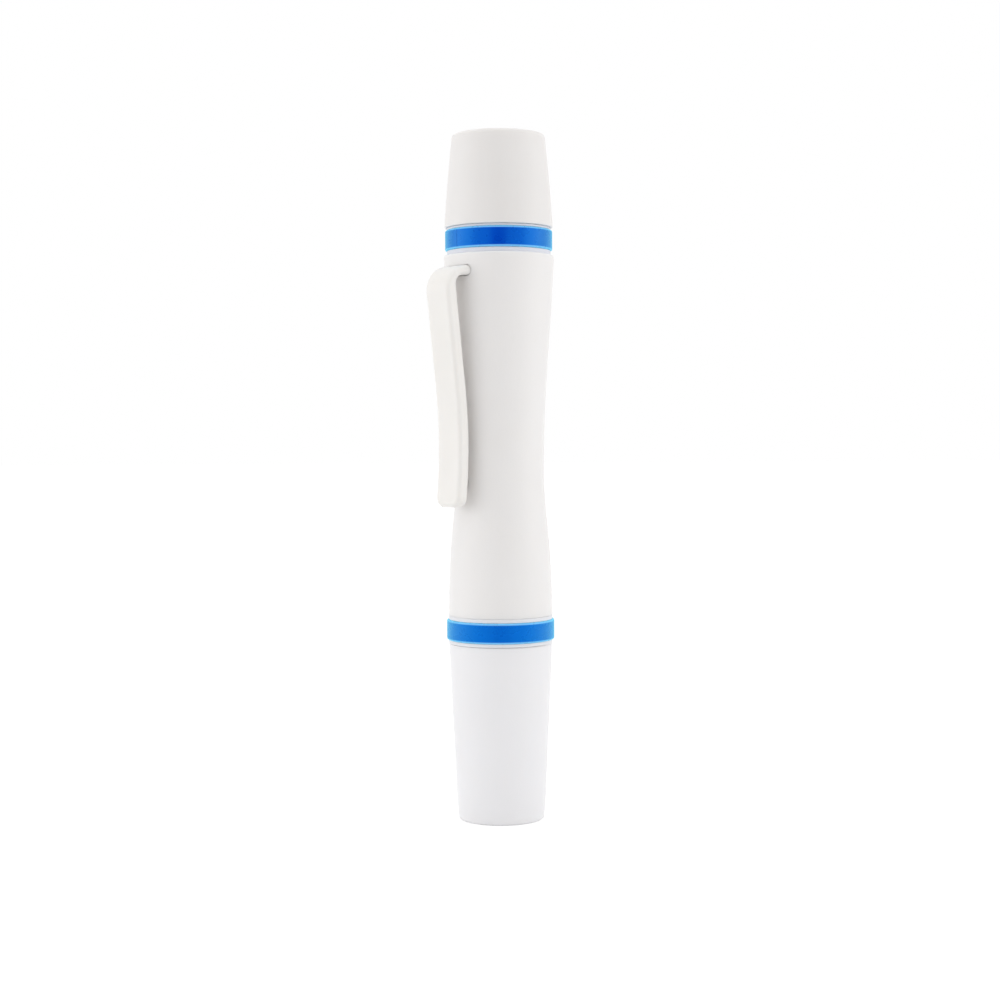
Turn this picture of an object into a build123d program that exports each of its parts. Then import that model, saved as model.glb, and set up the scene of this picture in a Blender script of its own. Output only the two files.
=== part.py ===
from build123d import *

import math
import os

# A compact two-cap lens cleaning pen, closed and standing on the flat end of its brush cap.
# The waisted barrel carries a soft brush at its foot and a dished carbon cleaning tip at its head.
# A colour ring sits in a groove beside each cap, and a pocket clip is plugged into the barrel.
# Origin: centre of the flat end that it stands on. +Z runs up the pen, -Y is its front.
# All sizes are in millimetres, and angles in degrees.

# Barrel: an hourglass tube, described by its foot, its waist and its head.
# Each hold is the share of a flare's height over which that end keeps its direction.
barrel_length = 55.1
barrel_foot_radius = 8.0
barrel_waist_radius = 6.79
barrel_head_radius = 8.42
barrel_waist_height = 24.0
barrel_foot_lean = 0.02
barrel_foot_hold = 0.7
barrel_lower_waist_hold = 0.46
barrel_upper_waist_hold = 0.33
barrel_head_hold = 0.33
barrel_end_lean = 0.03
barrel_wall = 1.45
barrel_end_round = 0.25
barrel_foot_round = 0.1
socket_radius = 6.5
socket_depth = 8.6
socket_ledge = 0.25
socket_chamfer = 0.3

# Collars: one plugged into each end of the barrel, with a groove for the colour ring
band_radius = 7.93
brush_band_radius = 7.98
barrel_band = 0.67
barrel_foot_band = 0.56
tip_cap_band = 0.3
brush_cap_band = 0.5
spigot_length = 8.2
spigot_wall = 1.2
web_thickness = 1.6
neck_length = 3.2
neck_round = 0.35

# Colour rings: split rings that snap into the grooves
ring_radius = 8.27
tip_ring_radius = 8.2
ring_height = 3.12
ring_wall = 0.8
ring_round = 0.28
ring_split = 0.06
tip_ring_turn = 50.0
brush_ring_turn = 180.0

# Brush cap: the long lower cap that the pen stands on
brush_cap_height = 27.2
brush_cap_mouth_radius = 7.94
brush_cap_heel_radius = 6.78
brush_cap_heel_height = 2.4
brush_cap_end_radius = 6.56
brush_cap_end_round = 0.3

# Tip cap: the short upper cap
tip_cap_height = 14.21
tip_cap_mouth_radius = 8.29
tip_cap_end_radius = 7.07
tip_cap_swell = 0.09
tip_cap_end_round = 0.55

# Both caps
cap_wall = 1.15
cap_mouth_wall = 1.3
cap_end_wall = 1.5
cap_mouth_round = 0.2
cap_inner_round = 0.6

# Cleaning tip: a stem with a soft dished head, faced with chamois
stem_radius = 1.9
stem_root_length = 5.0
stem_seat_radius = 3.2
stem_seat_height = 0.5
stem_button_radius = 2.5
stem_button_height = 0.7
stem_button_depth = 0.7
tip_radius = 6.0
tip_reach = 5.4
tip_rim_height = 1.3
tip_cone_height = 1.6
tip_hub_radius = 3.1
tip_hub_height = 0.5
tip_dish_depth = 1.1
tip_edge_round = 0.2
chamois_thickness = 0.4
chamois_margin = 0.15

# Carbon reservoir at the closed end of the tip cap
carbon_cup_depth = 2.6
carbon_cup_wall = 0.6

# Brush: a tapered tuft glued into a metal ferrule
ferrule_radius = 4.25
ferrule_wall = 0.4
ferrule_reach = 3.6
ferrule_root_length = 9.0
crimp_depth = 0.15
crimp_radius = 0.5
crimp_height = 1.6
tuft_belly_radius = 4.7
tuft_belly_drop = 5.5
tuft_point_radius = 2.0
tuft_root_length = 5.0
plug_length = 3.0

# Pocket clip: a bent blade on an arm whose tongue goes through the barrel's wall
clip_turn = 50.0
clip_drop = 1.94
clip_length = 36.3
clip_width = 5.5
clip_thickness = 2.0
clip_arm_thickness = 1.5
clip_head_gap = 2.28
clip_bend_gap = 0.86
clip_lip_gap = 1.81
clip_bend_height = 10.15
clip_shoulder_round = 3.8
clip_arm_round = 1.5
clip_bend_round = 75.0
clip_lip_round = 1.5
clip_edge_round = 0.65
clip_pip_radius = 1.2
clip_pip_height = 3.6
clip_pip_round = 0.7

# Clearances
press_clearance = 0.03
slide_clearance = 0.05
ring_clearance = 0.03
cap_gap = 0.05
slot_clearance = 0.09
slot_side_clearance = 0.04
pip_clearance = 0.2
sponge_clearance = 0.2
tip_clearance = 1.41
brush_room = 4.9

# Heights of the stack, from the flat end up
brush_band_z = brush_cap_height + cap_gap
brush_neck_z = brush_band_z - neck_length
brush_groove_z = brush_band_z + brush_cap_band
groove_height = ring_height + 2 * ring_clearance
barrel_foot_z = brush_groove_z + groove_height + barrel_foot_band
barrel_head_z = barrel_foot_z + barrel_length
tip_groove_z = barrel_head_z + barrel_band
tip_band_z = tip_groove_z + groove_height + tip_cap_band
tip_cap_z = tip_band_z + cap_gap
carbon_cup_z = tip_cap_z + tip_cap_height - cap_end_wall - carbon_cup_depth
tip_rim_z = carbon_cup_z - tip_clearance
tip_dish_z = tip_rim_z - tip_dish_depth
tip_neck_z = tip_rim_z - tip_reach
tip_neck_length = tip_neck_z - tip_band_z
ferrule_z = brush_neck_z - ferrule_reach

# Radii that follow from the fits
groove_depth = ring_wall + ring_clearance
spigot_radius = socket_radius - press_clearance
brush_neck_radius = brush_cap_mouth_radius - cap_mouth_wall - slide_clearance
tip_neck_radius = tip_cap_mouth_radius - cap_mouth_wall - slide_clearance
stem_bore_radius = stem_radius + press_clearance
ferrule_bore_radius = ferrule_radius - ferrule_wall - press_clearance
dish_sphere_radius = (tip_radius**2 + tip_dish_depth**2) / (2 * tip_dish_depth)


def turned(*outline):
    """A solid turned round the pen's axis from the lines of a closed outline of (radius, height)."""
    return revolve(Plane.XZ * make_face(Curve() + list(outline)), Axis.Z)


def round_edge(solid, radius, height):
    """The solid's round edge that lies nearest to this radius and height."""
    circles = solid.edges().filter_by(GeomType.CIRCLE)
    return min(circles, key=lambda edge: abs(edge.radius - radius) + abs(edge.arc_center.Z - height))


def at_turn(turn, piece):
    """Turns a piece that points along +X to this many degrees left of the pen's front."""
    return Rot(0, 0, -90 - turn) * piece


def flare(narrow, wide, narrow_hold, wide_hold, lean):
    """A curve that leaves the narrow end upright and reaches the wide end with a small lean."""
    rise = wide[1] - narrow[1]
    upright = (narrow[0], narrow[1] + narrow_hold * rise)
    leaning = (wide[0] - lean * abs(wide_hold * rise), wide[1] - wide_hold * rise)
    return Bezier(narrow, upright, leaning, wide)


def dish(radius, level):
    """The cleaning tip's hollow curve from the axis, lowest at this level, out to this radius."""
    points = []
    for reach in (0, radius / 2, radius):
        points.append((reach, level + dish_sphere_radius - math.sqrt(dish_sphere_radius**2 - reach**2)))
    return ThreePointArc(*points)


def hourglass(foot_radius, waist_radius, head_radius, inset):
    """A solid that narrows to the barrel's waist, with both ends this far inside the barrel's."""
    foot = (foot_radius, barrel_foot_z + inset)
    waist = (waist_radius, barrel_foot_z + barrel_waist_height)
    head = (head_radius, barrel_head_z - inset)
    lower = flare(waist, foot, barrel_lower_waist_hold, barrel_foot_hold, barrel_foot_lean)
    upper = flare(waist, head, barrel_upper_waist_hold, barrel_head_hold, barrel_end_lean)
    return turned(lower, upper, Polyline(head, (0, head[1]), (0, foot[1]), foot))


def make_barrel():
    """The hourglass tube, with a socket at each end for a collar and a slot for the clip's tongue."""
    barrel = hourglass(barrel_foot_radius, barrel_waist_radius, barrel_head_radius, 0)
    barrel = fillet(round_edge(barrel, barrel_foot_radius, barrel_foot_z), barrel_foot_round)
    barrel = fillet(round_edge(barrel, barrel_head_radius, barrel_head_z), barrel_end_round)
    bore_end_radius = socket_radius - socket_ledge
    barrel -= hourglass(bore_end_radius, barrel_waist_radius - barrel_wall, bore_end_radius, socket_depth)
    for end_z, inward in ((barrel_foot_z, 1), (barrel_head_z, -1)):
        barrel -= Pos(0, 0, end_z + inward * socket_depth / 2) * Cylinder(socket_radius, socket_depth)
        barrel = chamfer(round_edge(barrel, socket_radius, end_z), socket_chamfer)
    slot_z = barrel_head_z - clip_drop - clip_arm_thickness / 2
    slot_height = clip_arm_thickness + 2 * slot_clearance
    slot = Box(2 * barrel_head_radius, clip_width + 2 * slot_side_clearance, slot_height)
    slot = fillet(slot.edges().filter_by(Axis.X), clip_edge_round + slot_side_clearance)
    slot = Pos(spigot_radius + barrel_head_radius, 0, slot_z) * slot
    return barrel - at_turn(clip_turn, slot)


def make_clip():
    """The clip: tongue, arm, round shoulder, slanted blade, grip pip and a lip that kicks out."""
    top_z = barrel_head_z - clip_drop
    lip_z = top_z - clip_length
    bend_z = lip_z + clip_bend_height
    arm_z = top_z - clip_arm_thickness
    shoulder = barrel_head_radius + clip_head_gap
    bend = barrel_waist_radius + clip_bend_gap
    lip = barrel_waist_radius + clip_lip_gap
    tongue_end = socket_radius + slot_clearance
    lean = (shoulder - bend) / (top_z - bend_z)
    outline = FilletPolyline(
        (tongue_end, top_z),
        (shoulder + clip_thickness, top_z),
        (bend + clip_thickness, bend_z),
        (lip + clip_thickness, lip_z),
        (lip, lip_z),
        (bend, bend_z),
        (shoulder - lean * clip_arm_thickness, arm_z),
        (tongue_end, arm_z),
        radius=[
            0,
            clip_shoulder_round,
            clip_bend_round,
            0,
            0,
            clip_bend_round + clip_thickness,
            clip_arm_round,
            0,
        ],
        close=True,
    )
    clip = extrude(Plane.XZ * make_face(outline), clip_width / 2, both=True)
    clip = fillet(clip.edges().filter_by(Axis.X).group_by(Axis.Z)[0], clip_lip_round)
    crosswise = clip.edges().filter_by(Axis.Y)
    lip_seams = clip.edges().filter_by(Axis.X).group_by(Axis.Z)[0]
    tongue_edges = clip.edges().group_by(Axis.X)[0]
    worn = clip.edges() - crosswise - lip_seams - tongue_edges + crosswise.group_by(Axis.Z)[0]
    clip = fillet(worn, clip_edge_round)
    pip_start = barrel_waist_radius + pip_clearance
    blade_inside = lip - (lip - bend) * clip_pip_height / clip_bend_height
    pip_length = blade_inside + clip_thickness / 2 - pip_start
    pip = Cylinder(clip_pip_radius, pip_length)
    pip = fillet(round_edge(pip, clip_pip_radius, pip_length / 2), clip_pip_round)
    clip += Pos(pip_start + pip_length / 2, 0, lip_z + clip_pip_height) * Rot(0, -90, 0) * pip
    return at_turn(clip_turn, clip)


def make_collar(flange_radius, groove_radius, bands, neck_radius, neck_reach, bore_radius):
    """A collar that stands on a barrel end at height 0: spigot below, ringed flange and cap neck above.

    The bands are the flange's heights on the barrel's side and on the cap's side of the groove.
    """
    groove_z = bands[0]
    cap_band_z = groove_z + groove_height
    neck_z = cap_band_z + bands[1]
    end_z = neck_z + neck_reach
    outline = Polyline(
        (bore_radius, -spigot_length),
        (spigot_radius, -spigot_length),
        (spigot_radius, 0),
        (flange_radius, 0),
        (flange_radius, groove_z),
        (groove_radius, groove_z),
        (groove_radius, cap_band_z),
        (flange_radius, cap_band_z),
        (flange_radius, neck_z),
        (neck_radius, neck_z),
        (neck_radius, end_z),
        (bore_radius, end_z),
        close=True,
    )
    return fillet(round_edge(turned(outline), neck_radius, end_z), neck_round)


def make_tip_collar():
    """The upper collar, hollowed from below round the hub that holds the tip's stem."""
    collar = make_collar(
        band_radius,
        tip_ring_radius - groove_depth,
        (barrel_band, tip_cap_band),
        tip_neck_radius,
        tip_neck_length,
        stem_bore_radius,
    )
    depth = spigot_length + tip_neck_z - barrel_head_z - web_thickness
    hollow = Cylinder(spigot_radius - spigot_wall, depth) - Cylinder(stem_seat_radius, depth)
    collar -= Pos(0, 0, depth / 2 - spigot_length) * hollow
    return Pos(0, 0, barrel_head_z) * collar


def make_brush_collar():
    """The lower collar, upside down, bored for the brush's ferrule."""
    collar = make_collar(
        brush_band_radius,
        ring_radius - groove_depth,
        (barrel_foot_band, brush_cap_band),
        brush_neck_radius,
        neck_length,
        ferrule_radius + press_clearance,
    )
    return Pos(0, 0, barrel_foot_z) * Rot(180, 0, 0) * collar


def make_ring(radius, low_z, turn):
    """A colour ring with rounded outer edges and one narrow split, resting in its groove."""
    ring = Cylinder(radius, ring_height)
    ring = fillet(ring.edges().filter_by(GeomType.CIRCLE), ring_round)
    ring -= Cylinder(radius - ring_wall, ring_height)
    split = Pos(radius - ring_wall / 2, 0, 0) * Box(2 * ring_wall, ring_split, ring_height)
    return Pos(0, 0, low_z + ring_clearance + ring_height / 2) * at_turn(turn, ring - split)


def tip_cap_bore(height):
    """The tip cap's inner radius at this height above its mouth."""
    neck_bore = tip_cap_mouth_radius - cap_mouth_wall
    share = (height - tip_neck_length) / (tip_cap_height - cap_end_wall - tip_neck_length)
    return neck_bore + share * (tip_cap_end_radius - cap_wall - neck_bore)


def make_cap(side, end_bore, end_round, neck_reach):
    """A cap with its mouth at height 0 and its closed end up, its side drawn from the end to the mouth."""
    end = side @ 0
    mouth = side @ 1
    cap = turned(side, Polyline(mouth, (0, 0), (0, end.Y), end))
    cap = fillet(round_edge(cap, end.X, end.Y), end_round)
    cap = fillet(round_edge(cap, mouth.X, 0), cap_mouth_round)
    neck_bore = mouth.X - cap_mouth_wall
    end_z = end.Y - cap_end_wall
    bore = Line((neck_bore, neck_reach), (end_bore, end_z))
    hollow = turned(bore, Polyline(bore @ 1, (0, end_z), (0, 0), (neck_bore, 0), bore @ 0))
    return cap - fillet(round_edge(hollow, end_bore, end_z), cap_inner_round)


def make_tip_cap():
    """The short upper cap, whose side swells a little."""
    side = SagittaArc((tip_cap_end_radius, tip_cap_height), (tip_cap_mouth_radius, 0), tip_cap_swell)
    cap = make_cap(side, tip_cap_end_radius - cap_wall, tip_cap_end_round, tip_neck_length)
    return Pos(0, 0, tip_cap_z) * cap


def make_brush_cap():
    """The long lower cap, upside down, with a heel that tapers in to the flat end."""
    heel = (brush_cap_heel_radius, brush_cap_height - brush_cap_heel_height)
    side = Polyline((brush_cap_end_radius, brush_cap_height), heel, (brush_cap_mouth_radius, 0))
    cap = make_cap(side, brush_cap_heel_radius - cap_wall, brush_cap_end_round, neck_length)
    return Pos(0, 0, brush_cap_height) * Rot(180, 0, 0) * cap


def make_tip_stem():
    """The stem: a root in the collar's hub, a seat on the neck and a button inside the soft head."""
    button_z = tip_rim_z - tip_rim_height - tip_cone_height - tip_hub_height + stem_button_depth
    outline = Polyline(
        (0, tip_neck_z - stem_root_length),
        (stem_radius, tip_neck_z - stem_root_length),
        (stem_radius, tip_neck_z),
        (stem_seat_radius, tip_neck_z),
        (stem_seat_radius, tip_neck_z + stem_seat_height),
        (stem_radius, tip_neck_z + stem_seat_height),
        (stem_radius, button_z),
        (stem_button_radius, button_z),
        (stem_button_radius, button_z + stem_button_height),
        (0, button_z + stem_button_height),
        close=True,
    )
    return turned(outline)


def make_tip_head():
    """The soft head: a hub over the stem's button, a cone and a rim round the dished face."""
    rim_low_z = tip_rim_z - tip_rim_height
    cone_low_z = rim_low_z - tip_cone_height
    hub_z = cone_low_z - tip_hub_height
    button_low_z = hub_z + stem_button_depth - press_clearance
    button_top_z = button_low_z + stem_button_height + 2 * press_clearance
    button_bore = stem_button_radius + press_clearance
    underside = Polyline(
        (0, tip_dish_z),
        (0, button_top_z),
        (button_bore, button_top_z),
        (button_bore, button_low_z),
        (stem_bore_radius, button_low_z),
        (stem_bore_radius, hub_z),
        (tip_hub_radius, hub_z),
        (tip_hub_radius, cone_low_z),
        (tip_radius, rim_low_z),
        (tip_radius, tip_rim_z),
    )
    head = turned(underside, dish(tip_radius, tip_dish_z))
    rims = [round_edge(head, tip_radius, tip_rim_z), round_edge(head, tip_radius, rim_low_z)]
    return fillet(rims, tip_edge_round)


def make_tip_chamois():
    """The chamois facing, an even layer in the head's dish."""
    edge_radius = tip_radius - chamois_margin
    under = dish(edge_radius, tip_dish_z + press_clearance)
    face = dish(edge_radius, tip_dish_z + press_clearance + chamois_thickness)
    return turned(under, Line(under @ 1, face @ 1), face, Line(face @ 0, under @ 0))


def make_carbon_cup():
    """The reservoir's cup, pressed mouth down into the closed end of the tip cap."""
    end_height = tip_cap_height - cap_end_wall
    mouth_height = end_height - carbon_cup_depth
    end_radius = tip_cap_bore(end_height) - press_clearance
    mouth_radius = tip_cap_bore(mouth_height) - press_clearance
    side = Line((mouth_radius, mouth_height), (end_radius, end_height))
    cup = turned(side, Polyline(side @ 1, (0, end_height), (0, mouth_height), side @ 0))
    cup = fillet(round_edge(cup, end_radius, end_height), cap_inner_round)
    hollow_depth = carbon_cup_depth - carbon_cup_wall
    cup -= Pos(0, 0, mouth_height + hollow_depth / 2) * Cylinder(end_radius - carbon_cup_wall, hollow_depth)
    return Pos(0, 0, tip_cap_z) * cup


def make_carbon_sponge():
    """The carbon sponge, a disc in the cup whose domed face stands just off the chamois."""
    end_height = tip_cap_height - cap_end_wall
    radius = tip_cap_bore(end_height) - carbon_cup_wall - 2 * press_clearance
    top_z = tip_cap_z + end_height - carbon_cup_wall
    face = dish(radius, tip_dish_z + press_clearance + chamois_thickness + sponge_clearance)
    sides = Polyline(face @ 1, (radius, top_z), (0, top_z), face @ 0)
    return turned(face, sides)


def make_brush_ferrule():
    """The metal ferrule pressed into the lower collar, with one crimp round the tuft."""
    length = ferrule_reach + ferrule_root_length
    ferrule = Cylinder(ferrule_radius, length) - Cylinder(ferrule_radius - ferrule_wall, length)
    ferrule = Pos(0, 0, ferrule_z + length / 2) * ferrule
    crimp = Torus(ferrule_radius - crimp_depth + crimp_radius, crimp_radius)
    return ferrule - Pos(0, 0, ferrule_z + crimp_height) * crimp


def make_bristle_plug():
    """The resin plug that the tuft's root is cast in."""
    low_z = ferrule_z + tuft_root_length
    return Pos(0, 0, low_z + plug_length / 2) * Cylinder(ferrule_bore_radius, plug_length)


def make_bristles():
    """The tuft's outer form: a root in the ferrule, a soft belly and a round tapered point."""
    root = (ferrule_bore_radius, ferrule_z + tuft_root_length)
    mouth = (ferrule_bore_radius, ferrule_z)
    belly_z = ferrule_z - tuft_belly_drop
    belly = (tuft_belly_radius, belly_z)
    point_z = cap_end_wall + brush_room
    third = tuft_belly_drop / 3
    swell = Bezier(mouth, (mouth[0], ferrule_z - third), (tuft_belly_radius, belly_z + third), belly)
    middle_z = (belly_z + point_z) / 2
    taper = Bezier(belly, (tuft_belly_radius, middle_z), (tuft_point_radius, point_z), (0, point_z))
    inside = Polyline((0, point_z), (0, root[1]), root, mouth)
    return turned(swell, taper, inside)


parts = {
    "barrel": make_barrel(),
    "clip": make_clip(),
    "tip_collar": make_tip_collar(),
    "tip_ring": make_ring(tip_ring_radius, tip_groove_z, tip_ring_turn),
    "tip_stem": make_tip_stem(),
    "tip_head": make_tip_head(),
    "tip_chamois": make_tip_chamois(),
    "tip_cap": make_tip_cap(),
    "carbon_cup": make_carbon_cup(),
    "carbon_sponge": make_carbon_sponge(),
    "brush_collar": make_brush_collar(),
    "brush_ring": make_ring(ring_radius, brush_groove_z, brush_ring_turn),
    "brush_ferrule": make_brush_ferrule(),
    "bristle_plug": make_bristle_plug(),
    "bristles": make_bristles(),
    "brush_cap": make_brush_cap(),
}

os.makedirs("parts", exist_ok=True)
for name, solid in parts.items():
    export_step(solid, f"parts/{name}.step")
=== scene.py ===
import math

import bmesh
import bpy
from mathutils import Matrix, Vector, noise


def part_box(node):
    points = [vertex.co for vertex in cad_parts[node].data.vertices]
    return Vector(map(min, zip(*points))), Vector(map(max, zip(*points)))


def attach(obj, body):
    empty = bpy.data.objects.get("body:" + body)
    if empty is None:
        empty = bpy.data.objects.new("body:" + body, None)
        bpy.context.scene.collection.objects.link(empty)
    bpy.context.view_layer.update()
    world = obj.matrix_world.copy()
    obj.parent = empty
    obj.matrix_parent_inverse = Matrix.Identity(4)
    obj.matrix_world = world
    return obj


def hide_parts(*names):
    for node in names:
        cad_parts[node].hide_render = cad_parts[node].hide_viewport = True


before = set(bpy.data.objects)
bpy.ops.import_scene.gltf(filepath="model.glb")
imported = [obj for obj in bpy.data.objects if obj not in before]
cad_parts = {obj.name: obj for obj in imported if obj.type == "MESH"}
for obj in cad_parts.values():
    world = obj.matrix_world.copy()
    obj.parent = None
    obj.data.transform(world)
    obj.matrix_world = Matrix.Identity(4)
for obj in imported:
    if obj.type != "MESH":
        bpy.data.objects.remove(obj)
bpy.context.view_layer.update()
scene = bpy.context.scene
scene.view_settings.view_transform = "Standard"

# Camera: level with the pen's middle, a little over a quarter of a metre away, looking slightly down.
# It is turned a hair round its own line of sight, because the pen leans that much in the picture.
camera = bpy.data.objects.new("camera", bpy.data.cameras.new("camera"))
camera.data.sensor_width = 36.0
camera.data.lens = 65.88
camera.location = (0.000055, -0.2816, 0.05995)
camera.rotation_euler = (math.radians(87.81), math.radians(0.306), 0.0)
scene.collection.objects.link(camera)
scene.camera = camera

# Light: a white tent all round the pen, with soft lamps at its sides and above.
# A dark card behind the camera takes light from the front, so the pen's middle is a little greyer.
world = bpy.data.worlds.new("white_tent")
world.use_nodes = True
tent = world.node_tree.nodes["Background"].inputs
tent["Color"].default_value = (1.0, 1.0, 1.0, 1.0)
tent["Strength"].default_value = 1.0
scene.world = world


def stage_plane(name, corners, material):
    """A flat four-cornered piece of the studio, which isn't part of the pen."""
    mesh = bpy.data.meshes.new(name)
    mesh.from_pydata(corners, [], [(0, 1, 2, 3)])
    mesh.materials.append(material)
    plane = bpy.data.objects.new(name, mesh)
    scene.collection.objects.link(plane)
    return plane


def soft_lamp(name, watts, place, turn):
    """A wide soft lamp, turned this many degrees about the front axis from shining straight down."""
    lamp = bpy.data.objects.new(name, bpy.data.lights.new(name, "AREA"))
    lamp.data.shape = "RECTANGLE"
    lamp.data.size = 0.3
    lamp.data.size_y = 0.5
    lamp.data.energy = watts
    lamp.location = place
    lamp.rotation_euler = (0.0, math.radians(turn), 0.0)
    scene.collection.objects.link(lamp)


card_dark = bpy.data.materials.new("card_dark")
card_dark.use_nodes = True
card_shader = card_dark.node_tree.nodes["Principled BSDF"]
card_shader.inputs["Base Color"].default_value = (0.02, 0.02, 0.02, 1.0)
card_shader.inputs["Roughness"].default_value = 1.0
card_corners = [(-0.14, -0.50, -0.02), (0.14, -0.50, -0.02), (0.14, -0.50, 0.26), (-0.14, -0.50, 0.26)]
card = stage_plane("card", card_corners, card_dark)
card.visible_camera = False
soft_lamp("lamp_left", 0.45, (-0.55, -0.1, 0.12), -90)
soft_lamp("lamp_right", 0.45, (0.55, -0.1, 0.12), 90)
soft_lamp("lamp_above", 0.3, (0.0, -0.1, 0.68), 0)

# Floor: a white sheet that shows white to the eye, with only a breath of grey where the pen stands.
# For light that lands on the pen it is plain matt paper.


def add_node(tree, kind, sockets=(), **settings):
    """A node with its settings made, and its sockets joined to another's output or set to a value."""
    node = tree.nodes.new(kind)
    for name, setting in settings.items():
        setattr(node, name, setting)
    for key, value in dict(sockets).items():
        if isinstance(value, bpy.types.NodeSocket):
            tree.links.new(value, node.inputs[key])
        else:
            node.inputs[key].default_value = value
    return node


def arithmetic(tree, operation, *values):
    """One step of arithmetic on numbers or sockets."""
    return add_node(tree, "ShaderNodeMath", enumerate(values), operation=operation).outputs[0]


floor_white = bpy.data.materials.new("floor_white")
floor_white.use_nodes = True
tree = floor_white.node_tree
tree.nodes.clear()
ray = add_node(tree, "ShaderNodeLightPath").outputs
seen = arithmetic(tree, "MAXIMUM", ray["Is Camera Ray"], ray["Is Glossy Ray"])
seen = arithmetic(tree, "MAXIMUM", seen, ray["Is Transmission Ray"])
share = arithmetic(tree, "MULTIPLY", seen, 0.6)
paper = add_node(tree, "ShaderNodeBsdfDiffuse", {"Color": (0.9, 0.9, 0.9, 1.0)}).outputs[0]
glow = add_node(tree, "ShaderNodeEmission", {"Strength": 1.2}).outputs[0]
both = add_node(tree, "ShaderNodeMixShader", {0: share, 1: paper, 2: glow}).outputs[0]
add_node(tree, "ShaderNodeOutputMaterial", {"Surface": both})
stage_plane("floor", [(-3, -3, 0), (3, -3, 0), (3, 3, 0), (-3, 3, 0)], floor_white)

# Barrel: the waisted tube that the hand holds, injection moulded in satin white plastic.
# Its ends are sockets for the collars, and its skin has the finest of grains from the mould.


def finish_of(name, settings=()):
    """A new material with these shader settings, its node tree, and the place on the piece."""
    material = bpy.data.materials.new(name)
    material.use_nodes = True
    tree = material.node_tree
    for key, value in dict(settings).items():
        tree.nodes["Principled BSDF"].inputs[key].default_value = value
    return material, tree, add_node(tree, "ShaderNodeTexCoord").outputs["Object"]


def finish(tree, colour, roughness, normal):
    """Joins a colour, a roughness and a normal to the material's shader."""
    shader = tree.nodes["Principled BSDF"]
    tree.links.new(colour, shader.inputs["Base Color"])
    tree.links.new(roughness, shader.inputs["Roughness"])
    tree.links.new(normal, shader.inputs["Normal"])


def cloud(tree, place, size, low, high, detail=3.0, stretch=(1.0, 1.0, 1.0)):
    """Soft random patches of about this size in metres, from low to high."""
    spot = add_node(tree, "ShaderNodeMapping", {"Vector": place, "Scale": stretch}, vector_type="POINT")
    sockets = {"Vector": spot.outputs[0], "Scale": 1.0 / size, "Detail": detail}
    patches = add_node(tree, "ShaderNodeTexNoise", sockets).outputs[0]
    span = {"Value": patches, "From Min": 0.3, "From Max": 0.7, "To Min": low, "To Max": high}
    return add_node(tree, "ShaderNodeMapRange", span).outputs[0]


def tinted(tree, factor, first, second):
    """The first colour, or socket, turning into the second as the factor goes from 0 to 1."""
    sockets = {"Factor": factor}
    for key, colour in (("A", first), ("B", second)):
        sockets[key] = (*colour, 1.0) if isinstance(colour, tuple) else colour
    return add_node(tree, "ShaderNodeMix", sockets, data_type="RGBA").outputs["Result"]


def relief(tree, height, depth, strength, under=None):
    """A bump of this depth in metres, laid over another bump if there is one."""
    sockets = {"Height": height, "Distance": depth, "Strength": strength}
    if under:
        sockets["Normal"] = under
    return add_node(tree, "ShaderNodeBump", sockets).outputs[0]


def moulded_plastic(name, colour, shade, roughness, glow_through=0.0):
    """Satin moulded plastic: fine grain, a faint unevenness of tone and gloss, and hairline rubs."""
    settings = {
        "IOR": 1.49,
        "Subsurface Weight": glow_through,
        "Subsurface Radius": (1.0, 0.95, 0.9),
        "Subsurface Scale": 0.0012,
    }
    material, tree, place = finish_of(name, settings)
    tone = tinted(tree, cloud(tree, place, 0.009, 0.0, 1.0), colour, shade)
    smudges = cloud(tree, place, 0.004, roughness - 0.05, roughness + 0.05, 5.0)
    rubs = cloud(tree, place, 0.0006, -0.03, 0.03, 2.0, (1.0, 1.0, 0.12))
    waves = relief(tree, cloud(tree, place, 0.006, 0.0, 1.0, 1.0), 0.00003, 0.25)
    grain = relief(tree, cloud(tree, place, 0.00018, 0.0, 1.0, 2.0), 0.000012, 0.3, waves)
    finish(tree, tone, arithmetic(tree, "ADD", smudges, rubs), grain)
    return material


def dress(node_name, material):
    """Gives a CAD node its finish, and evens its shading out over its flat faces."""
    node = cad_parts[node_name]
    node.data.materials.clear()
    node.data.materials.append(material)
    even = node.modifiers.new("even_shading", "WEIGHTED_NORMAL")
    even.keep_sharp = True


dress("barrel", moulded_plastic("barrel_white", (0.83, 0.814, 0.806), (0.818, 0.80, 0.79), 0.4, 0.35))

# Collars: one plugged into each end of the barrel, moulded in a cooler white. The upper one is coloured
# greyer and bluer than the lower one, as painted shade.
# Only narrow bands of them show on either side of the rings, and their necks when a cap is off.
for node_name, colour, shade in (
    # The upper collar's darker, bluer white is painted shade.
    ("tip_collar", (0.78, 0.775, 0.835), (0.76, 0.755, 0.815)),
    ("brush_collar", (0.83, 0.82, 0.85), (0.815, 0.805, 0.83)),
):
    dress(node_name, moulded_plastic(node_name + "_white", colour, shade, 0.42, 0.2))

# Colour rings: split rings of glossy blue plastic with a pearl in it, snapped into the collars' grooves.
# Polished by the mould, they mirror the tent in lighter blue at their sides. The paler blue along their
# rims is a painted highlight.
painted_rim_highlight_blue = (0.22, 0.52, 0.95)
highlight_band_start = 0.00036
highlight_band_end = 0.00016


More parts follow.
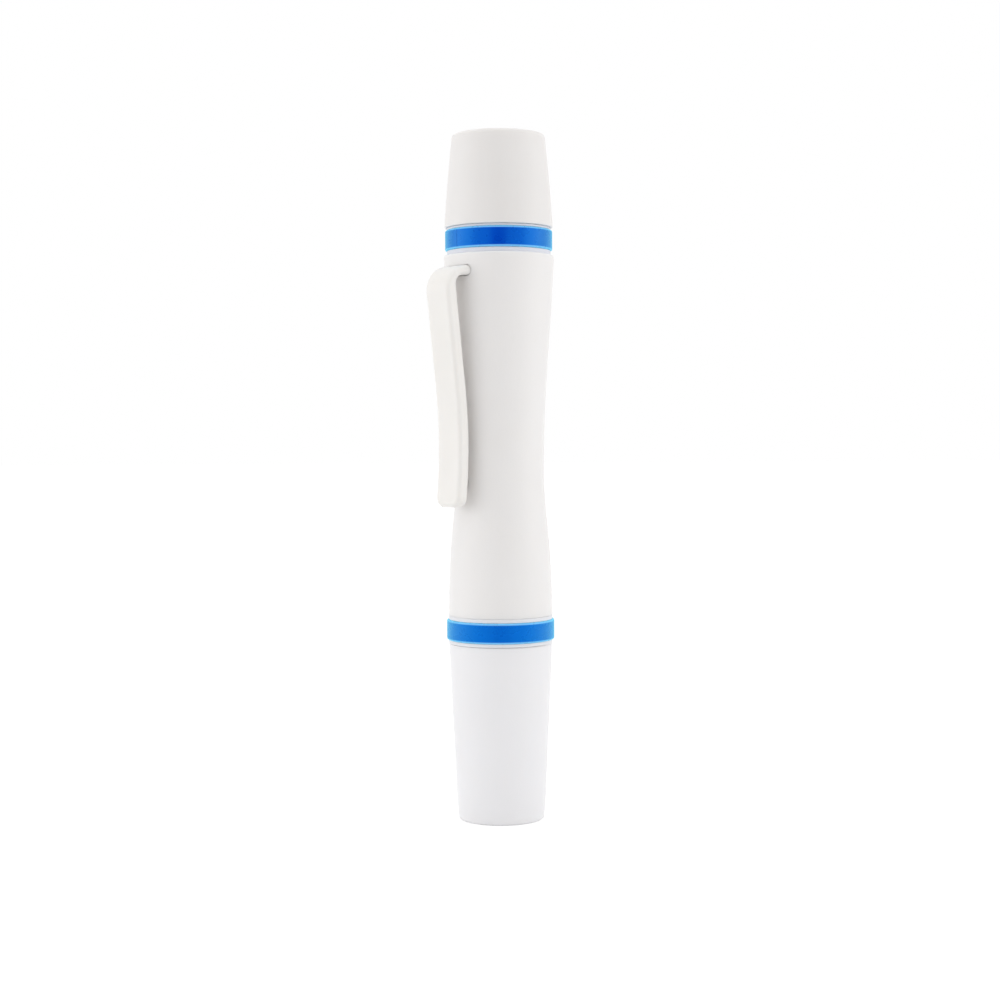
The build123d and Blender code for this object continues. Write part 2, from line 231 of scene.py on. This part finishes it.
def pearl_blue(node_name, name, colour, shade):
    """Glossy blue plastic with a fine pearl, and a painted highlight of paler blue along the rounded
    rims of the node's ring.
    """
    settings = {
        "IOR": 1.75,
        "Metallic": 0.1,
        "Specular Tint": (0.05, 0.85, 1.0, 1.0),
        "Sheen Weight": 0.75,
        "Sheen Roughness": 0.6,
        "Sheen Tint": (0.0, 0.8, 1.0, 1.0),
    }
    material, tree, place = finish_of(name, settings)
    low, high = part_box(node_name)
    level = add_node(tree, "ShaderNodeSeparateXYZ", {0: place}).outputs["Z"]
    above = arithmetic(tree, "SUBTRACT", level, 0.5 * (low.z + high.z))
    off_middle = arithmetic(tree, "ABSOLUTE", above)
    rim = 0.5 * (high.z - low.z)
    span = {"Value": off_middle, "From Min": rim - highlight_band_start, "From Max": rim - highlight_band_end}
    # The band near each rim gets a painted highlight of paler blue.
    painted_highlight_mask = add_node(tree, "ShaderNodeMapRange", span, interpolation_type="SMOOTHSTEP").outputs[0]
    swirl = tinted(tree, cloud(tree, place, 0.0035, 0.0, 1.0, 4.0, (1.0, 1.0, 0.4)), colour, shade)
    gloss = cloud(tree, place, 0.0015, 0.25, 0.31, 4.0)
    flakes = relief(tree, cloud(tree, place, 0.00009, 0.0, 1.0, 1.0), 0.000002, 0.1)
    finish(tree, tinted(tree, painted_highlight_mask, swirl, painted_rim_highlight_blue), gloss, flakes)
    return material


for node_name, name, colour, shade in (
    ("tip_ring", "ring_deep_blue", (0.0, 0.02, 0.56), (0.0, 0.016, 0.52)),
    ("brush_ring", "ring_blue", (0.0, 0.07, 0.61), (0.0, 0.06, 0.57)),
):
    dress(node_name, pearl_blue(node_name, name, colour, shade))

# Pocket clip: a springy bent strip, moulded by itself in a warmer white and plugged through the barrel.
# It is a touch glossier than the barrel.
clip_white = moulded_plastic("clip_warm_white", (0.838, 0.82, 0.795), (0.826, 0.806, 0.778), 0.36, 0.35)
dress("clip", clip_white)

# Cleaning tip: a black plastic stem in the upper collar, with a soft rubber head pushed over it.
# The rubber is matt, with a skin like fine leather and a bloom of carbon dust.


def cell_edges(tree, place, cells):
    """How far the nearest edge is between random cells, of which this many go in a metre."""
    sockets = {"Vector": place, "Scale": cells}
    texture = add_node(tree, "ShaderNodeTexVoronoi", sockets, feature="DISTANCE_TO_EDGE")
    return texture.outputs["Distance"]


satin_black = moulded_plastic("satin_black", (0.022, 0.022, 0.023), (0.035, 0.034, 0.034), 0.38)
dress("tip_stem", satin_black)
tip_rubber, tree, place = finish_of("tip_rubber")
bloom = cloud(tree, place, 0.0012, 0.0, 1.0, 6.0)
dust = tinted(tree, bloom, (0.030, 0.030, 0.031), (0.065, 0.064, 0.062))
creases = relief(tree, cell_edges(tree, place, 3200.0), 0.00004, 0.3)
skin = relief(tree, cloud(tree, place, 0.00012, 0.0, 1.0, 2.0), 0.00002, 0.35, creases)
finish(tree, dust, cloud(tree, place, 0.0008, 0.62, 0.85, 4.0), skin)
dress("tip_head", tip_rubber)

# Chamois: a round of thin suede glued into the head's dish, napped and loaded with fine carbon.
# The nap is brushed into soft tufts, and the cut edge is a little ragged.
dish_curve = 0.016914


def dish_height(low, reach):
    """Where the tip's hollow curve, this low on the axis, stands at this reach from the axis."""
    return low + dish_curve - math.sqrt(dish_curve**2 - reach**2)


def dished(radius, low, steps):
    """Points (radius, height) of the tip's hollow curve, from the axis out to this radius."""
    points = []
    for step in range(steps + 1):
        reach = radius * step / steps
        points.append((reach, dish_height(low, reach)))
    return points


def turned_mesh(name, outline, turns):
    """A closed mesh turned from an outline of (radius, height) that starts and ends on the axis."""
    shape = bmesh.new()
    rows = []
    for radius, height in outline[1:-1]:
        row = []
        for step in range(turns):
            angle = 2 * math.pi * step / turns
            row.append(shape.verts.new((radius * math.cos(angle), radius * math.sin(angle), height)))
        rows.append(row)
    for pole, row in ((outline[0], rows[0]), (outline[-1], rows[-1])):
        centre = shape.verts.new((0.0, 0.0, pole[1]))
        for step in range(turns):
            shape.faces.new((centre, row[step], row[(step + 1) % turns]))
    for low, high in zip(rows, rows[1:]):
        for step in range(turns):
            after = (step + 1) % turns
            shape.faces.new((low[step], low[after], high[after], high[step]))
    bmesh.ops.recalc_face_normals(shape, faces=shape.faces)
    shape.normal_update()
    mesh = bpy.data.meshes.new(name)
    shape.to_mesh(mesh)
    shape.free()
    mesh.polygons.foreach_set("use_smooth", [True] * len(mesh.polygons))
    piece = bpy.data.objects.new(name, mesh)
    scene.collection.objects.link(piece)
    return piece


chamois_low, chamois_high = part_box("tip_chamois")
chamois_radius = chamois_high.x
chamois_thickness = 0.0004
cut_edge = chamois_radius - 0.0001
nap_drop = 0.00004
nap_swing = 0.00003
edge_swing = 0.00007
chamois_under = dished(cut_edge, chamois_low.z, 8)
chamois_face = dished(cut_edge, chamois_low.z + chamois_thickness, 60)
chamois = turned_mesh("chamois_facing", chamois_under + chamois_face[::-1], 220)
for vertex in chamois.data.vertices:
    spot = vertex.co
    reach = math.hypot(spot.x, spot.y)
    if spot.z > dish_height(chamois_low.z, reach) + 0.5 * chamois_thickness:
        tufts = noise.noise(spot * 2600.0) + 0.6 * noise.noise(spot * 6500.0)
        spot.z -= nap_drop + nap_swing * tufts
    if reach > 0.95 * chamois_radius:
        ragged = edge_swing * noise.noise(Vector((spot.x, spot.y, 0.0)) * 2200.0)
        spot.x *= 1.0 + ragged / reach
        spot.y *= 1.0 + ragged / reach
suede, tree, place = finish_of(
    "chamois_suede", {"Sheen Weight": 0.25, "Sheen Roughness": 0.5, "Sheen Tint": (0.6, 0.6, 0.62, 1.0)}
)
patches = cloud(tree, place, 0.0016, 0.0, 1.0, 6.0)
suede_black = tinted(tree, patches, (0.030, 0.030, 0.032), (0.075, 0.073, 0.070))
fibres = relief(tree, cloud(tree, place, 0.00010, 0.0, 1.0, 4.0, (1.0, 0.35, 1.0)), 0.00006, 0.7)
nap = relief(tree, cloud(tree, place, 0.0006, 0.0, 1.0, 3.0), 0.00008, 0.5, fibres)
finish(tree, suede_black, cloud(tree, place, 0.0009, 0.82, 0.97, 4.0), nap)
chamois.data.materials.append(suede)
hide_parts("tip_chamois")
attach(chamois, "barrel")

# Carbon reservoir: a black plastic cup pressed into the short cap, with a sponge full of carbon powder.
# The sponge is cut from open foam, so its skin is all broken cells, with painted shade darkening the
# middle of each pore.
dress("carbon_cup", satin_black)
foam_cells = 2400.0
skin_drop = 0.00002
cell_depth = 0.00013
sponge_low, sponge_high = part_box("carbon_sponge")
sponge_radius = sponge_high.x
sponge_face = dished(sponge_radius, sponge_low.z, 44)
sponge_side = []
for step in range(1, 26):
    height = sponge_face[-1][1] + (sponge_high.z - sponge_face[-1][1]) * step / 26
    sponge_side.append((sponge_radius, height))
sponge_back = []
for step in range(5):
    sponge_back.append((sponge_radius * (1 - step / 4), sponge_high.z))
sponge = turned_mesh("carbon_foam", sponge_face + sponge_side + sponge_back, 260)
normals = [vertex.normal.copy() for vertex in sponge.data.vertices]
for vertex, outward in zip(sponge.data.vertices, normals):
    reaches = noise.voronoi(vertex.co * foam_cells)[0]
    hollow = min(1.0, (reaches[1] - reaches[0]) * 2.2)
    vertex.co -= outward * (skin_drop + cell_depth * hollow)
foam, tree, place = finish_of("carbon_foam")
cells = cell_edges(tree, place, foam_cells)
# Painted shade: each pore's middle is coloured darker than its walls.
span = {"Value": cells, "From Min": 0.0, "From Max": 0.25, "To Min": 1.0, "To Max": 0.0}
pore_shade_mask = add_node(tree, "ShaderNodeMapRange", span).outputs[0]
foam_black_with_pore_shade = tinted(tree, pore_shade_mask, (0.016, 0.016, 0.017), (0.085, 0.083, 0.080))
powder = relief(tree, cloud(tree, place, 0.00011, 0.0, 1.0, 4.0), 0.00004, 0.6)
torn_skin = relief(tree, cells, 0.0001, 0.4, powder)
finish(tree, foam_black_with_pore_shade, cloud(tree, place, 0.0007, 0.75, 0.95, 4.0), torn_skin)
sponge.data.materials.append(foam)
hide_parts("carbon_sponge")
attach(sponge, "tip_cap")

# Tip cap: the short cap over the cleaning tip, moulded in the same satin white as the barrel.
# It is pushed over the neck of the upper collar. Its white is a little darker than the barrel's, as
# painted shade for the dimmer light at the top of the pen.
dress("tip_cap", moulded_plastic("tip_cap_white", (0.79, 0.77, 0.757), (0.777, 0.755, 0.741), 0.4, 0.35))

# Brush ferrule: a drawn aluminium tube pressed into the lower collar, crimped once round the hair.
# Drawing leaves fine bright lines along it. Inside, amber resin holds the roots.
drawn_metal, tree, place = finish_of("drawn_aluminium", {"Metallic": 1.0})
oxide = tinted(tree, cloud(tree, place, 0.0022, 0.0, 1.0, 4.0), (0.80, 0.80, 0.81), (0.70, 0.70, 0.72))
streaks = cloud(tree, place, 0.0003, 0.2, 0.36, 4.0, (1.0, 1.0, 0.05))
lines = relief(tree, cloud(tree, place, 0.00012, 0.0, 1.0, 3.0, (1.0, 1.0, 0.03)), 0.00001, 0.4)
finish(tree, oxide, streaks, lines)
dress("brush_ferrule", drawn_metal)
resin, tree, place = finish_of(
    "amber_resin",
    {"Subsurface Weight": 0.5, "Subsurface Radius": (1.0, 0.6, 0.3), "Subsurface Scale": 0.001},
)
flow = tinted(tree, cloud(tree, place, 0.0018, 0.0, 1.0, 5.0), (0.60, 0.38, 0.14), (0.46, 0.27, 0.09))
bubbles = add_node(tree, "ShaderNodeTexVoronoi", {"Vector": place, "Scale": 1500.0}).outputs["Distance"]
finish(tree, flow, cloud(tree, place, 0.001, 0.12, 0.25), relief(tree, bubbles, 0.00004, 0.2))
dress("bristle_plug", resin)

# Tuft: soft natural hairs, set as a bundle in the ferrule and shaped to a round belly and a soft point.
# Each hair tapers to a fine tip, paler than its root, and bends a little in its own way.
hair_look, tree, place = finish_of("soft_hair")
length_share = add_node(tree, "ShaderNodeAttribute", attribute_name="along").outputs["Fac"]
own_tone = add_node(tree, "ShaderNodeAttribute", attribute_name="tone").outputs["Fac"]
root_colour = tinted(tree, own_tone, (0.40, 0.27, 0.155), (0.56, 0.41, 0.26))
tip_colour = tinted(tree, own_tone, (0.70, 0.58, 0.43), (0.84, 0.75, 0.62))
hair_colour = tinted(tree, arithmetic(tree, "POWER", length_share, 1.6), root_colour, tip_colour)
scales = relief(tree, cloud(tree, place, 0.00008, 0.0, 1.0, 2.0, (1.0, 1.0, 0.3)), 0.000006, 0.4)
finish(tree, hair_colour, cloud(tree, place, 0.0008, 0.38, 0.55), scales)

tuft_sizes = {
    "Hairs": 2600,
    "Knots": 10,
    "Mouth Height": 0.02045,
    "Belly Height": 0.01495,
    "Point Height": 0.0064,
    "Mouth Radius": 0.00372,
    "Belly Radius": 0.0046,
    "Hair Radius": 0.00006,
    "Wander": 0.00022,
    "Seed": 7,
}
tuft_tree = bpy.data.node_groups.new("tapered_tuft", "GeometryNodeTree")
tuft_tree.interface.new_socket("Geometry", in_out="OUTPUT", socket_type="NodeSocketGeometry")
tuft_sockets = {}
for name, value in tuft_sizes.items():
    kind = "NodeSocketInt" if isinstance(value, int) else "NodeSocketFloat"
    socket = tuft_tree.interface.new_socket(name, in_out="INPUT", socket_type=kind)
    tuft_sockets[name] = socket.identifier
given = add_node(tuft_tree, "NodeGroupInput").outputs


def maths(operation, *values):
    """One step of arithmetic in the tuft's tree."""
    return arithmetic(tuft_tree, operation, *values)


def chance(hair, low, high, channel):
    """A random number for each hair, of another series for each channel."""
    sockets = {"Min": low, "Max": high, "ID": hair, "Seed": maths("ADD", given["Seed"], channel)}
    return add_node(tuft_tree, "FunctionNodeRandomValue", sockets).outputs[1]


def noted(strands, name, value):
    """The strands with this value noted on every point under this name."""
    sockets = {"Geometry": strands, "Name": name, "Value": value}
    kind = "GeometryNodeStoreNamedAttribute"
    return add_node(tuft_tree, kind, sockets, data_type="FLOAT", domain="POINT").outputs[0]


order = add_node(tuft_tree, "GeometryNodeInputIndex").outputs[0]
hair = maths("FLOOR", maths("DIVIDE", order, given["Knots"]))
knot = maths("MODULO", order, given["Knots"])
along = maths("DIVIDE", knot, maths("SUBTRACT", given["Knots"], 1.0))
spread = maths("SQRT", chance(hair, 0.0, 1.0, 0))
angle = chance(hair, 0.0, 2 * math.pi, 1)
belly_room = maths("SUBTRACT", given["Belly Height"], given["Point Height"])
dome = maths("POWER", maths("SUBTRACT", 1.0, maths("POWER", spread, 2.2)), 0.6)
tip_height = maths("SUBTRACT", given["Belly Height"], maths("MULTIPLY", belly_room, dome))
tip_height = maths("ADD", tip_height, chance(hair, 0.0, 0.0009, 2))
root_height = maths("ADD", given["Mouth Height"], 0.0015)
height = maths("ADD", root_height, maths("MULTIPLY", along, maths("SUBTRACT", tip_height, root_height)))
below_mouth = maths("SUBTRACT", given["Mouth Height"], height)
swell_room = maths("SUBTRACT", given["Mouth Height"], given["Belly Height"])
span = {"Value": maths("DIVIDE", below_mouth, swell_room), "To Min": 0.0, "To Max": 1.0}
swell = add_node(tuft_tree, "ShaderNodeMapRange", span, interpolation_type="SMOOTHSTEP").outputs[0]
gain = maths("MULTIPLY", swell, maths("SUBTRACT", given["Belly Radius"], given["Mouth Radius"]))
envelope = maths("ADD", given["Mouth Radius"], gain)
reach = maths("MULTIPLY", spread, envelope)
bend = maths("MULTIPLY", maths("POWER", along, 2.0), given["Wander"])
sideways = maths("MULTIPLY", bend, chance(hair, -1.0, 1.0, 3))
inward = maths("MULTIPLY", bend, chance(hair, 0.0, 1.0, 4))
reach = maths("SUBTRACT", reach, inward)
cosine = maths("COSINE", angle)
sine = maths("SINE", angle)
across = maths("SUBTRACT", maths("MULTIPLY", reach, cosine), maths("MULTIPLY", sideways, sine))
deep = maths("ADD", maths("MULTIPLY", reach, sine), maths("MULTIPLY", sideways, cosine))
spot = add_node(tuft_tree, "ShaderNodeCombineXYZ", {0: across, 1: deep, 2: height}).outputs[0]
count = maths("MULTIPLY", given["Hairs"], given["Knots"])
beads = add_node(tuft_tree, "GeometryNodePoints", {"Count": count, "Position": spot}).outputs[0]
sockets = {"Points": beads, "Curve Group ID": hair, "Weight": knot}
strands = add_node(tuft_tree, "GeometryNodePointsToCurves", sockets).outputs[0]
share = add_node(tuft_tree, "GeometryNodeSplineParameter").outputs["Factor"]
strands = noted(strands, "along", share)
spline = add_node(tuft_tree, "GeometryNodeCurveOfPoint").outputs["Curve Index"]
strands = noted(strands, "tone", chance(spline, 0.0, 1.0, 5))
taper = maths("POWER", maths("SUBTRACT", 1.03, share), 0.6)
sockets = {"Curve": strands, "Radius": maths("MULTIPLY", given["Hair Radius"], taper)}
strands = add_node(tuft_tree, "GeometryNodeSetCurveRadius", sockets).outputs[0]
sockets = {"Resolution": 3, "Radius": 1.0}
section = add_node(tuft_tree, "GeometryNodeCurvePrimitiveCircle", sockets).outputs[0]
thickness = add_node(tuft_tree, "GeometryNodeInputRadius").outputs[0]
sockets = {"Curve": strands, "Profile Curve": section, "Scale": thickness, "Fill Caps": True}
tubes = add_node(tuft_tree, "GeometryNodeCurveToMesh", sockets).outputs[0]
smooth = add_node(tuft_tree, "GeometryNodeSetShadeSmooth", {"Geometry": tubes}).outputs[0]
whole = add_node(tuft_tree, "GeometryNodeRealizeInstances", {"Geometry": smooth}).outputs[0]
coloured = add_node(tuft_tree, "GeometryNodeSetMaterial", {"Geometry": whole, "Material": hair_look})
add_node(tuft_tree, "NodeGroupOutput", {0: coloured.outputs[0]})

tuft = bpy.data.objects.new("bristle_hairs", bpy.data.meshes.new("bristle_hairs"))
scene.collection.objects.link(tuft)
grow = tuft.modifiers.new("grow", "NODES")
grow.node_group = tuft_tree
for name, value in tuft_sizes.items():
    grow[tuft_sockets[name]] = value
depsgraph = bpy.context.evaluated_depsgraph_get()
grown = bpy.data.meshes.new_from_object(
    tuft.evaluated_get(depsgraph), preserve_all_data_layers=True, depsgraph=depsgraph
)
tuft.modifiers.remove(grow)
tuft.data = grown
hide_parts("bristles")
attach(tuft, "barrel")

# Brush cap: the long lower cap that the pen stands on, moulded in a slightly cooler white.
# It is pushed over the neck of the lower collar, and the free end inside leaves room for the tuft.
cap_white = moulded_plastic("brush_cap_white", (0.845, 0.838, 0.853), (0.833, 0.825, 0.838), 0.4, 0.35)
dress("brush_cap", cap_white)
